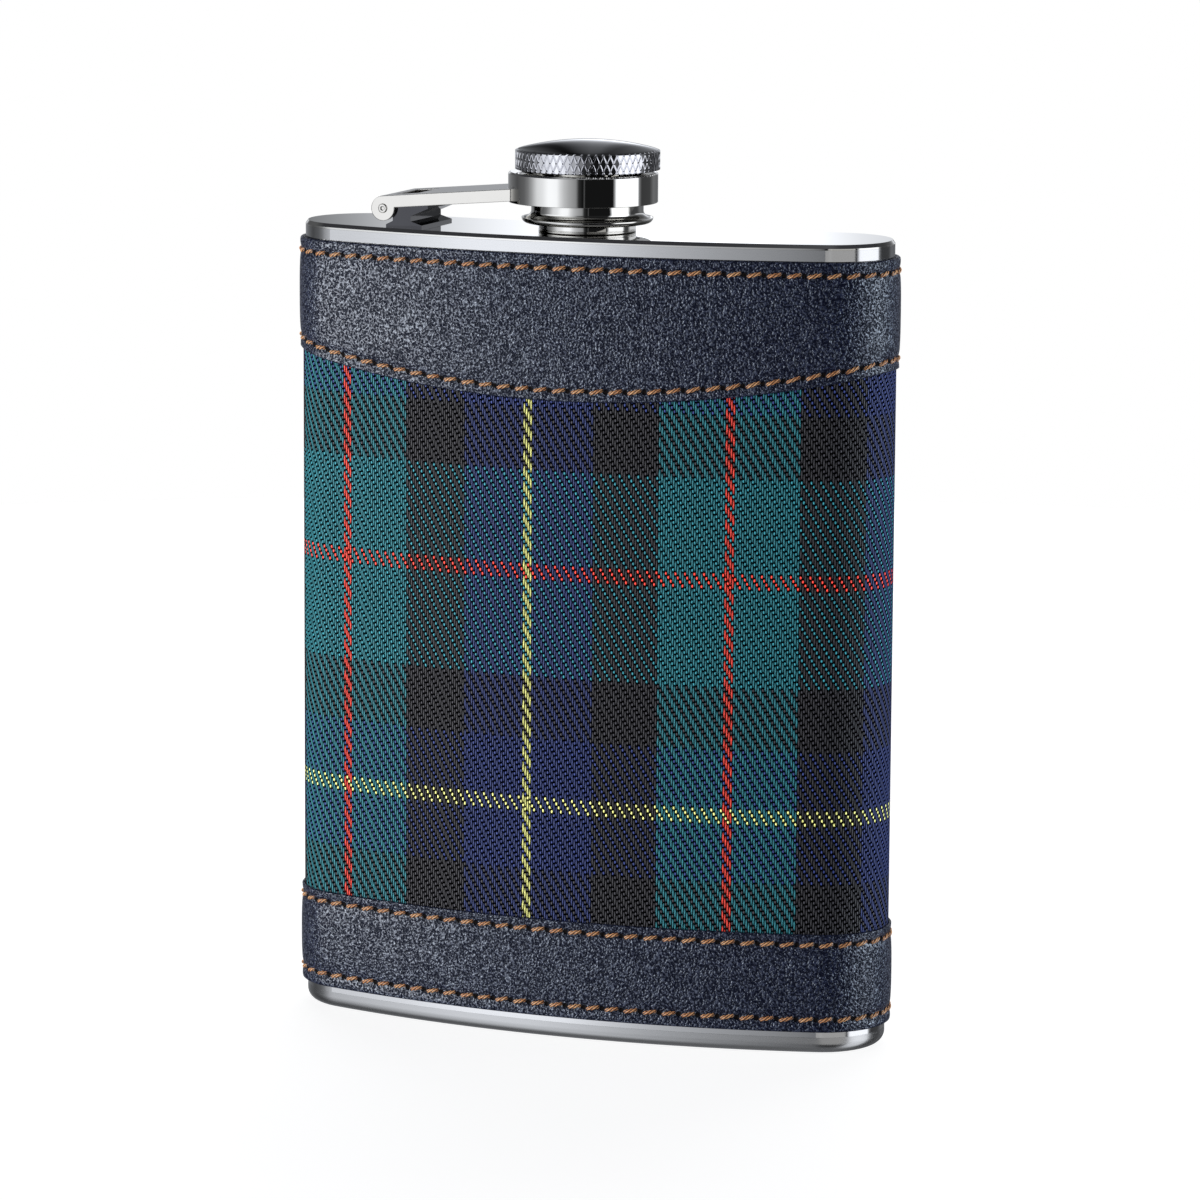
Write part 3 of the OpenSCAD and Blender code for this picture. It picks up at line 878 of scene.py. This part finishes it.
# %% [markdown]
# ## Tartan cloth
# The panel is a worsted twill. Its upright threads, the warp, are green, black and navy with
# single lines of red and yellow, and the crosswise threads, the weft, repeat the pattern. In
# this twill each warp thread passes over three weft threads and under one, one step further
# along for each neighbour, which draws the diagonal ribs. The weave is far too fine to model
# thread by thread as a mesh, so the cloth is a thin bent sheet, and its shader works out for
# every point which thread lies on top, how round it is there and what colour it has.

# %% Bend the sheet
cloth_in, cloth_out = 0.2, 0.4
cloth_low, cloth_high = 4.1, 118.4
seam_gap = 0.3
cloth_half = half_round(cloth_out) - seam_gap / 2


def cloth_sheet(columns=420, rows=60):
    """The panel as a closed thin sheet, with a map of millimetres across and up."""
    s = np.linspace(-cloth_half, cloth_half, columns)
    z = np.linspace(cloth_low, cloth_high, rows)
    skins = []
    for out in (cloth_out, cloth_in):
        x, y = outline(s[:, None], np.full((1, rows), out), at=cloth_out)
        skins.append(np.stack([x, y, np.tile(z, (columns, 1))], -1))
    verts = np.concatenate([skins[0], skins[1][:, ::-1]], 1)
    flat_u = np.tile(s[:, None], (1, 2 * rows))
    flat_v = np.tile(np.concatenate([z, z[::-1]]), (columns, 1))
    faces = grid_faces(columns, 2 * rows, False, True)
    last = (columns - 1) * 2 * rows
    faces += [list(range(2 * rows)), [last + k for k in range(2 * rows)]]
    return verts.reshape(-1, 3), faces, np.stack([flat_u, flat_v], -1).reshape(-1, 2)


# %% Threads of the weave
end_pitch = 0.36
pick_pitch = 0.59
thread_round = 0.055  # how far, in mm, the middle of a thread stands above its sides
keeps_positive = 4000  # a whole number of twill steps, added so that thread numbers never go below 0
warp_yellow_at = -5.05
warp_half_repeat = 31.2
weft_yellow_z = 36.0
weft_half_repeat = 35.2
# From the middle of a yellow line to the middle of a red one: where each colour begins.
warp_stripes = [(0, "yellow"), (0.72, "navy"), (10.45, "black"), (20.6, "green"),
                (warp_half_repeat - 0.72, "red")]
weft_stripes = [(0, "yellow"), (1.18, "navy"), (10.0, "black"), (19.75, "green"),
                (weft_half_repeat - 1.18, "red")]
yarns = {
    "green": (0.022, 0.185, 0.220),
    "black": (0.027, 0.026, 0.031),
    "navy": (0.022, 0.036, 0.138),
    "red": (0.78, 0.055, 0.035),
    "yellow": (0.70, 0.70, 0.22),
}


def stripe(tree, place, colours):
    """The yarn colour at a distance from the yellow line. colours are (from, name)."""
    colour = tree.nodes.new("ShaderNodeRGB").outputs[0]
    colour.default_value = (*yarns[colours[0][1]], 1)
    for start, name in colours[1:]:
        colour = blend_colours(tree, calc(tree, "GREATER_THAN", place, start), colour, yarns[name])
    return colour


def tartan():
    """Warp-faced twill: over three, under one."""
    material, tree, shader = finish_named("tartan_twill")
    across, up = uv_pair(tree, "cloth_mm")
    place = in_millimetres(tree)
    wander = calc(tree, "MULTIPLY", calc(tree, "SUBTRACT", noise(tree, place, 0.35, 2), 0.5), 0.35)
    sway = calc(tree, "MULTIPLY", calc(tree, "SUBTRACT", noise(tree, place, 0.9, 1), 0.5), 0.12)
    across_w = calc(tree, "ADD", across, sway)
    up_w = calc(tree, "ADD", up, wander)
    ends = calc(tree, "ADD", calc(tree, "DIVIDE", across_w, end_pitch), keeps_positive)
    picks = calc(tree, "DIVIDE", up_w, pick_pitch)
    end_no = calc(tree, "FLOOR", ends)
    in_end = calc(tree, "FRACT", ends)
    in_pick = calc(tree, "FRACT", picks)
    pick_no = calc(tree, "FLOOR", picks)
    phase = calc(tree, "FLOORED_MODULO", calc(tree, "ADD", end_no, picks), 4)
    weft_shows = calc(tree, "LESS_THAN", phase, 1)

    def hump(value, power):
        """1 in the middle of a unit step and 0 at its ends."""
        edge = calc(tree, "ABSOLUTE", calc(tree, "MULTIPLY_ADD", value, 2, -1))
        return calc(tree, "SUBTRACT", 1, calc(tree, "POWER", edge, power))

    warp_along = calc(tree, "DIVIDE", calc(tree, "SUBTRACT", phase, 1), 3)
    warp_h = calc(tree, "MULTIPLY", hump(in_end, 1.5), calc(tree, "POWER", hump(warp_along, 2.0), 0.8))
    weft_h = calc(tree, "MULTIPLY", hump(in_end, 2.0), hump(in_pick, 1.8))
    weft_part = calc(tree, "MULTIPLY", weft_shows, weft_h)
    warp_part = calc(tree, "MULTIPLY", calc(tree, "SUBTRACT", 1, weft_shows), warp_h)
    height = calc(tree, "MAXIMUM", calc(tree, "ADD", weft_part, warp_part), 0)
    # Colours of both sets of threads
    mid_end = calc(tree, "SUBTRACT", calc(tree, "ADD", end_no, 0.5), keeps_positive)
    mid_end = calc(tree, "MULTIPLY", mid_end, end_pitch)
    warp_at = calc(tree, "PINGPONG", calc(tree, "SUBTRACT", mid_end, warp_yellow_at), warp_half_repeat)
    warp_colour = stripe(tree, warp_at, warp_stripes)
    mid_pick = calc(tree, "MULTIPLY", calc(tree, "ADD", pick_no, 0.5), pick_pitch)
    weft_at = calc(tree, "PINGPONG", calc(tree, "SUBTRACT", mid_pick, weft_yellow_z), weft_half_repeat)
    weft_colour = stripe(tree, weft_at, weft_stripes)
    weft_bright = blend_colours(tree, 1.0, weft_colour, (1.7, 1.7, 1.75), "MULTIPLY")
    colour = blend_colours(tree, weft_shows, warp_colour, weft_bright)
    # Fibres and uneven dye, then painted shade in the gaps between threads and a painted highlight on
    # each thread's crest
    fibre = noise(tree, in_millimetres(tree, (6, 6, 1.2)), 2.0, 3, 0.65)
    tone = spread(tree, fibre, 0.3, 0.72, 0.45, 1.75)
    colour = blend_colours(tree, 1.0, colour, tone, "MULTIPLY")
    # Painted shade and highlight: colour falls to black between threads and rises above the dye on their
    # crests
    painted_shade_and_highlight = spread(tree, height, 0.25, 0.85, 0.0, 1.35)
    colour = blend_colours(tree, 1.0, colour, painted_shade_and_highlight, "MULTIPLY")
    put(shader.inputs["Base Color"], colour)
    put(shader.inputs["Roughness"], spread(tree, fibre, 0.3, 0.7, 0.5, 0.75))
    put(shader.inputs["Normal"], bump(tree, height, thread_round))
    put(shader.inputs["Specular IOR Level"], spread(tree, height, 0.3, 0.9, 0.0, 0.6))
    return material


cloth_mat = tartan()
cloth_verts, cloth_faces, cloth_map = cloth_sheet()
cloth = piece_from("tartan_panel", cloth_verts, cloth_faces, "flask", "tartan_cloth",
                   cloth_mat, {"cloth_mm": cloth_map})
face_outwards(cloth)
print("tartan panel, cut size in mm:", round(2 * cloth_half, 1), "x", round(cloth_high - cloth_low, 1))

# %% [markdown]
# ## Stitch places
# The machine sews with an even step all the way round. Each stitch goes from one needle hole
# to the next, so both the leather, which has the holes, and the thread, which lies between
# them, need the same count. The count runs on through the arcs and the round ends.

# %% Count stitches round the outline
stitch_pitch = 3.0
front_l, end_l, back_l = lengths(leather_out)
front_n = round(2 * front_l / stitch_pitch)
end_n = round(end_l / stitch_pitch)
back_n = round(2 * back_l / stitch_pitch)


def hole_count(s):
    """How many needle holes lie before s. Whole numbers are holes."""
    run = np.abs(s)
    n = np.minimum(run, front_l) / front_l * front_n / 2
    n = n + np.clip(run - front_l, 0, end_l) / end_l * end_n
    n = n + np.clip(run - front_l - end_l, 0, back_l) / back_l * back_n / 2
    return np.sign(s) * n + front_n / 2


fine_s = np.linspace(-half_round(leather_out), half_round(leather_out), 20001)
fine_n = hole_count(fine_s)
hole_no = np.arange(math.ceil(fine_n[0] - 1e-6), math.floor(fine_n[-1] + 1e-6) + 1)
hole_s = np.interp(hole_no, fine_n, fine_s)
print(len(hole_s) - 1, "stitches in a row")

# %% [markdown]
# ## Leather bands
# Each band is thin grained leather with both long edges turned under, so its edges are round
# and a little proud of the cloth. The thread pulls the leather down along the rows, and it
# swells between them. The band is a profile carried round the outline; the profile knows how
# far each point is from its edge and from the rows. The upper band's lower edge is an arch.

# %% Heights of edges and rows
band_top_z, arch_z, arch_r = 119.0, 97.2, 218.0
band_low_z, band_bottom_z = 3.5, 18.5
outer_inset, inner_inset = 2.0, 1.6


def arch_height(lift):
    """A function that gives the arch's height at x, moved up by lift."""
    return lambda x: arch_z + arch_r - np.sqrt((arch_r - lift) ** 2 - x**2)


def flat_height(z):
    """A function that gives the same height z at every x."""
    return lambda x: np.full_like(x, z)


row_heights = {
    "top_upper": flat_height(band_top_z - outer_inset),
    "top_lower": arch_height(inner_inset),
    "bottom_upper": flat_height(band_bottom_z - inner_inset),
    "bottom_lower": flat_height(band_low_z + outer_inset),
}
print("stitch rows:", ", ".join(row_heights))


# %% The folded edges
def turned_edge(hem):
    """(out, distance from the edge) over a folded edge, from the underside to the face."""
    if hem:
        return [(0.40, 0.62), (0.06, 0.58), (0.05, 0.30), (0.12, 0.12), (0.27, 0.02), (0.46, 0.0),
                (0.64, 0.05), (0.78, 0.16), (0.87, 0.34), (0.90, 0.58)]
    return [(0.40, 0.60), (0.40, 0.22), (0.43, 0.08), (0.52, 0.01), (0.64, 0.0), (0.75, 0.06),
            (0.84, 0.18), (0.89, 0.36), (0.90, 0.60)]


# %% Carry the leather round
# Depths in mm, each with how far from the row of stitches it reaches.
row_pull, row_pull_reach = 0.20, 0.62
row_sag, row_sag_reach = 0.10, 2.2
hole_dip, hole_dip_reach = 0.05, 0.7
swell = 0.06


def leather_band(name, node, upper, lower, rows, hems, material, step=0.75):
    """upper and lower give the band's edge heights at x; rows give the stitch rows' heights."""
    half = half_round(leather_out) - seam_gap / 2
    columns = int(2 * half / step)
    s = np.linspace(-half, half, columns)
    at_x = outline(s, leather_out)[0]
    high, low = upper(at_x), lower(at_x)
    row_z = [row(at_x) for row in rows]
    top_side = np.array(turned_edge(hems[0]))
    low_side = np.array(turned_edge(hems[1]))[::-1]
    face_t = np.linspace(0, 1, 47)[1:-1]
    tall = (high - low)[:, None]
    a = high[:, None] - top_side[None, :, 1]
    b = (high - 0.6)[:, None] - (tall - 1.2) * face_t[None, :]
    c = low[:, None] + low_side[None, :, 1]
    z = np.concatenate([a, b, c], 1)
    out = np.concatenate([np.tile(top_side[:, 0], (columns, 1)), np.full(b.shape, leather_out),
                          np.tile(low_side[:, 0], (columns, 1))], 1)
    gaps = np.stack([z - r[:, None] for r in row_z], -1)
    nearest = np.take_along_axis(gaps, np.abs(gaps).argmin(-1)[..., None], -1)[..., 0]
    middle = np.clip((z - low[:, None]) / tall, 0, 1)
    pull = row_pull * np.exp(-((nearest / row_pull_reach) ** 2))
    sag = row_sag * np.exp(-((nearest / row_sag_reach) ** 2))
    on_face = out > 0.86
    out = np.where(on_face, out - pull - sag + swell * np.sin(math.pi * middle), out)
    # The leather also dips a little further at each needle hole
    holes = hole_count(s)
    near_hole = np.cos(2 * math.pi * holes)[:, None] * np.exp(-((nearest / hole_dip_reach) ** 2))
    out = np.where(on_face, out - hole_dip * near_hole, out)
    x, y = outline(s[:, None], out)
    verts = np.stack([x, y, z], -1)
    rows_n = z.shape[1]
    faces = grid_faces(columns, rows_n, False, True)
    last = (columns - 1) * rows_n
    faces += [list(range(rows_n)), [last + k for k in range(rows_n)]]
    places = np.stack([np.tile(holes[:, None], (1, rows_n)), nearest], -1).reshape(-1, 2)
    thing = piece_from(name, verts.reshape(-1, 3), faces, "flask", node, material,
                       {"seam_place": places})
    face_outwards(thing)
    return thing


# %% [markdown]
# The leather's finish is a navy dye under a thin clear coat, with a printed grain of small
# worm-like pebbles. Two noises of different size make the grain. Next to every needle hole
# the leather is sunken, which the shader knows from the map of stitch places. The shader
# also paints shade into the grain's valleys, along each row of stitches and into each hole.


# %% Navy leather
pebble_scale, worm_scale, bend_by = 2.6, 3.1, 0.6
grain_depth = 0.27


def navy_leather():
    material, tree, shader = finish_named("navy_grain_leather")
    place = in_millimetres(tree)
    cells = tree.nodes.new("ShaderNodeTexVoronoi")
    cells.feature = "SMOOTH_F1"
    cells.inputs["Scale"].default_value = pebble_scale
    cells.inputs["Smoothness"].default_value = 0.35
    bend = tree.nodes.new("ShaderNodeVectorMath")
    bend.operation = "MULTIPLY_ADD"
    swirl = tree.nodes.new("ShaderNodeTexNoise")
    put(swirl.inputs["Vector"], place)
    swirl.inputs["Scale"].default_value = 0.9
    put(bend.inputs[0], swirl.outputs["Color"])
    bend.inputs[1].default_value = (bend_by, bend_by, bend_by)
    put(bend.inputs[2], place)
    put(cells.inputs["Vector"], bend.outputs[0])
    pebble = spread(tree, cells.outputs["Distance"], 0.05, 0.62, 1.0, 0.0)
    worms = noise(tree, bend.outputs[0], worm_scale, 0.5, 0.5, 0.3)
    grain = calc(tree, "MULTIPLY_ADD", pebble, 0.15, worms)
    count, off_row = uv_pair(tree, "seam_place")
    off_hole = calc(tree, "SUBTRACT", calc(tree, "FRACT", calc(tree, "ADD", count, 0.5)), 0.5)
    far = calc(tree, "ADD", calc(tree, "POWER", calc(tree, "MULTIPLY", off_hole, 6.2), 2),
               calc(tree, "POWER", calc(tree, "MULTIPLY", off_row, 2.6), 2))
    hole = spread(tree, far, 1.15, 0.25, 0, 1, smooth=True)
    beside = spread(tree, calc(tree, "ABSOLUTE", off_row), 0.75, 0.15, 0, 1, smooth=True)
    patchy = noise(tree, place, 0.12, 3)
    colour = blend_colours(tree, patchy, (0.006, 0.010, 0.040), (0.008, 0.014, 0.052))
    # Painted shade: the grain's valleys get a darker colour than its crests
    crest = spread(tree, grain, 0.44, 0.70, smooth=True)
    colour = blend_colours(tree, crest, (0.003, 0.004, 0.014), colour)
    # Painted shade in a band along each row of stitches, where the leather dips
    colour = blend_colours(tree, calc(tree, "MULTIPLY", beside, 0.45), colour, (0.006, 0.007, 0.016))
    # Painted shade inside each needle hole
    colour = blend_colours(tree, hole, colour, (0.006, 0.003, 0.002))
    put(shader.inputs["Base Color"], colour)
    rough = spread(tree, grain, 0.4, 0.8, 0.38, 0.27)
    put(shader.inputs["Roughness"], calc(tree, "MAXIMUM", rough, calc(tree, "MULTIPLY", hole, 0.9)))
    relief = calc(tree, "SUBTRACT", grain, calc(tree, "MULTIPLY", hole, 1.6))
    put(shader.inputs["Normal"], bump(tree, relief, grain_depth))
    shine = calc(tree, "MULTIPLY", crest, calc(tree, "SUBTRACT", 1, hole))
    put(shader.inputs["Specular IOR Level"], calc(tree, "MULTIPLY_ADD", shine, 0.85, 0.15))
    shader.inputs["Specular Tint"].default_value = (0.80, 0.90, 1.0, 1.0)
    put(shader.inputs["Coat Weight"], calc(tree, "MULTIPLY", shine, 0.5))
    shader.inputs["Coat Roughness"].default_value = 0.3
    return material


# %% Make both bands
leather = navy_leather()
leather_band("upper_band", "leather_band_top", flat_height(band_top_z), arch_height(0.0),
             [row_heights["top_upper"], row_heights["top_lower"]], (True, False), leather)
leather_band("lower_band", "leather_band_bottom", flat_height(band_bottom_z), flat_height(band_low_z),
             [row_heights["bottom_upper"], row_heights["bottom_lower"]], (False, True), leather)

# %% [markdown]
# ## Amber thread
# Each stitch is a short length of three-ply thread. It rises out of one needle hole, crosses
# the leather at a slight slant, as lockstitches do, and dives into the next. The three plies
# are three lobes of the cross-section, and turning them along the stitch gives the twist.

# %% Thread material
thread, tree, shader = finish_named("amber_thread")
strands = noise(tree, in_millimetres(tree), 9.0, 3, 0.6)
slow = noise(tree, in_millimetres(tree), 0.7, 2)
amber = blend_colours(tree, spread(tree, strands, 0.35, 0.65), (0.26, 0.08, 0.02), (0.86, 0.40, 0.16))
amber = blend_colours(tree, spread(tree, slow, 0.4, 0.6, 0, 0.35), amber, (1.0, 0.62, 0.30))
ply_side, along = uv_pair(tree, "ply")
# Painted shade in the grooves between the plies
amber = blend_colours(tree, spread(tree, ply_side, 0.3, 0.85), (0.035, 0.008, 0.003), amber)
# Painted shade at both ends of each stitch, where the thread dives into its hole
near_end = calc(tree, "ABSOLUTE", calc(tree, "SUBTRACT", along, 0.5))
amber = blend_colours(tree, spread(tree, near_end, 0.36, 0.47), amber, (0.03, 0.008, 0.003))
put(shader.inputs["Base Color"], amber)
put(shader.inputs["Roughness"], spread(tree, strands, 0.3, 0.7, 0.35, 0.5))
put(shader.inputs["Normal"], bump(tree, strands, 0.006))
shader.inputs["Sheen Weight"].default_value = 0.1


# %% Lay the stitches
# The thread's middle lies this far under the leather's face at a hole, and rises between holes.
thread_sunk, thread_rise = 0.52, 0.35


def stitch_row(name, node, height, thick=0.32, slant=0.27, rings=18, sides=15):
    """One row of separate twisted stitches between neighbouring holes."""
    verts, faces, marks = [], [], []
    t = np.linspace(0, 1, rings)
    wave = np.random.default_rng(7)
    for start, stop in zip(hole_s[:-1], hole_s[1:]):
        slack = wave.uniform(-0.04, 0.04, 3)
        s = start + (stop - start) * (0.10 + 0.80 * t) + slack[0]
        lift = np.sin(math.pi * np.clip(t, 0.0, 1.0)) ** 0.45  # steep at the holes, flat between
        out = leather_out - thread_sunk + thread_rise * lift
        x0 = outline(s, out)[0]
        z = height(x0) + (slant + slack[1]) * (2 * t - 1)
        thin = thick * (0.62 + 0.38 * np.sin(math.pi * t) ** 0.6) * (1 + slack[2])
        a = np.linspace(0, 2 * math.pi, sides, endpoint=False)
        twist = 2 * math.pi * 0.95 * t
        lobe = np.abs(np.cos(1.5 * (a[None, :] - twist[:, None])))
        radius = thin[:, None] * (0.56 + 0.44 * lobe)
        ss = s[:, None] + 0 * radius
        oo = out[:, None] + radius * np.cos(a)[None, :]
        x, y = outline(ss, oo)
        zz = z[:, None] + radius * np.sin(a)[None, :]
        first = sum(len(v) for v in verts)
        verts.append(np.stack([x, y, zz], -1).reshape(-1, 3))
        marks.append(np.stack([lobe, np.tile(t[:, None], (1, sides))], -1).reshape(-1, 2))
        faces += grid_faces(rings, sides, False, True, first)
        last = first + (rings - 1) * sides
        faces += [[first + k for k in range(sides)], [last + k for k in range(sides)]]
    thing = piece_from(name, np.concatenate(verts), faces, "flask", node, thread,
                       {"ply": np.concatenate(marks)})
    face_outwards(thing)
    return thing


for row_name, row_height in row_heights.items():
    stitch_row("row_" + row_name, "stitches_" + row_name, row_height)

# %% [markdown]
# ## Lining
# The backing sheet lies against the steel under everything. Only its cut ends can be seen, in
# the seam at the back. It stays as the frame has it and gets a plain weave.

# %% Lining weave
weave, tree, shader = finish_named("lining_weave")
place = in_millimetres(tree)
warp_wave = tree.nodes.new("ShaderNodeTexWave")
put(warp_wave.inputs["Vector"], place)
warp_wave.bands_direction = "Z"
warp_wave.inputs["Scale"].default_value = 0.8
fuzz = noise(tree, place, 3.0, 3)
grey = blend_colours(tree, warp_wave.outputs["Fac"], (0.03, 0.03, 0.035), (0.08, 0.08, 0.09))
put(shader.inputs["Base Color"], blend_colours(tree, fuzz, grey, (0.05, 0.05, 0.055)))
put(shader.inputs["Roughness"], spread(tree, fuzz, 0.3, 0.7, 0.8, 0.95))
put(shader.inputs["Normal"], bump(tree, warp_wave.outputs["Fac"], 0.05))
give_finish("wrap_lining", weave)

# %% [markdown]
# ## Who each light falls on
# A studio hides a light from one part with a black flag. In Blender the same is done with
# light linking: a light gets a collection of pieces, and it lights and is mirrored by those
# alone. It comes this late because the pieces have to be there first.


# %% Link the lights to their pieces
def lights_only(lights, name, pieces):
    """Makes the lights fall on these pieces and on nothing else."""
    group = bpy.data.collections.new(name)
    for piece in pieces:
        group.objects.link(piece)
    for light in lights:
        light.light_linking.receiver_collection = group


wrap_names = ("tartan_panel", "upper_band", "lower_band", "row_")
wrap_pieces = [thing for thing in bpy.data.objects if thing.name.startswith(wrap_names)]
lights_only([key, edge_light], "wrap_pieces", wrap_pieces)
lights_only([rim_fill], "rim_pieces", [steel_nodes["body_shell"], shoulder_piece, base])
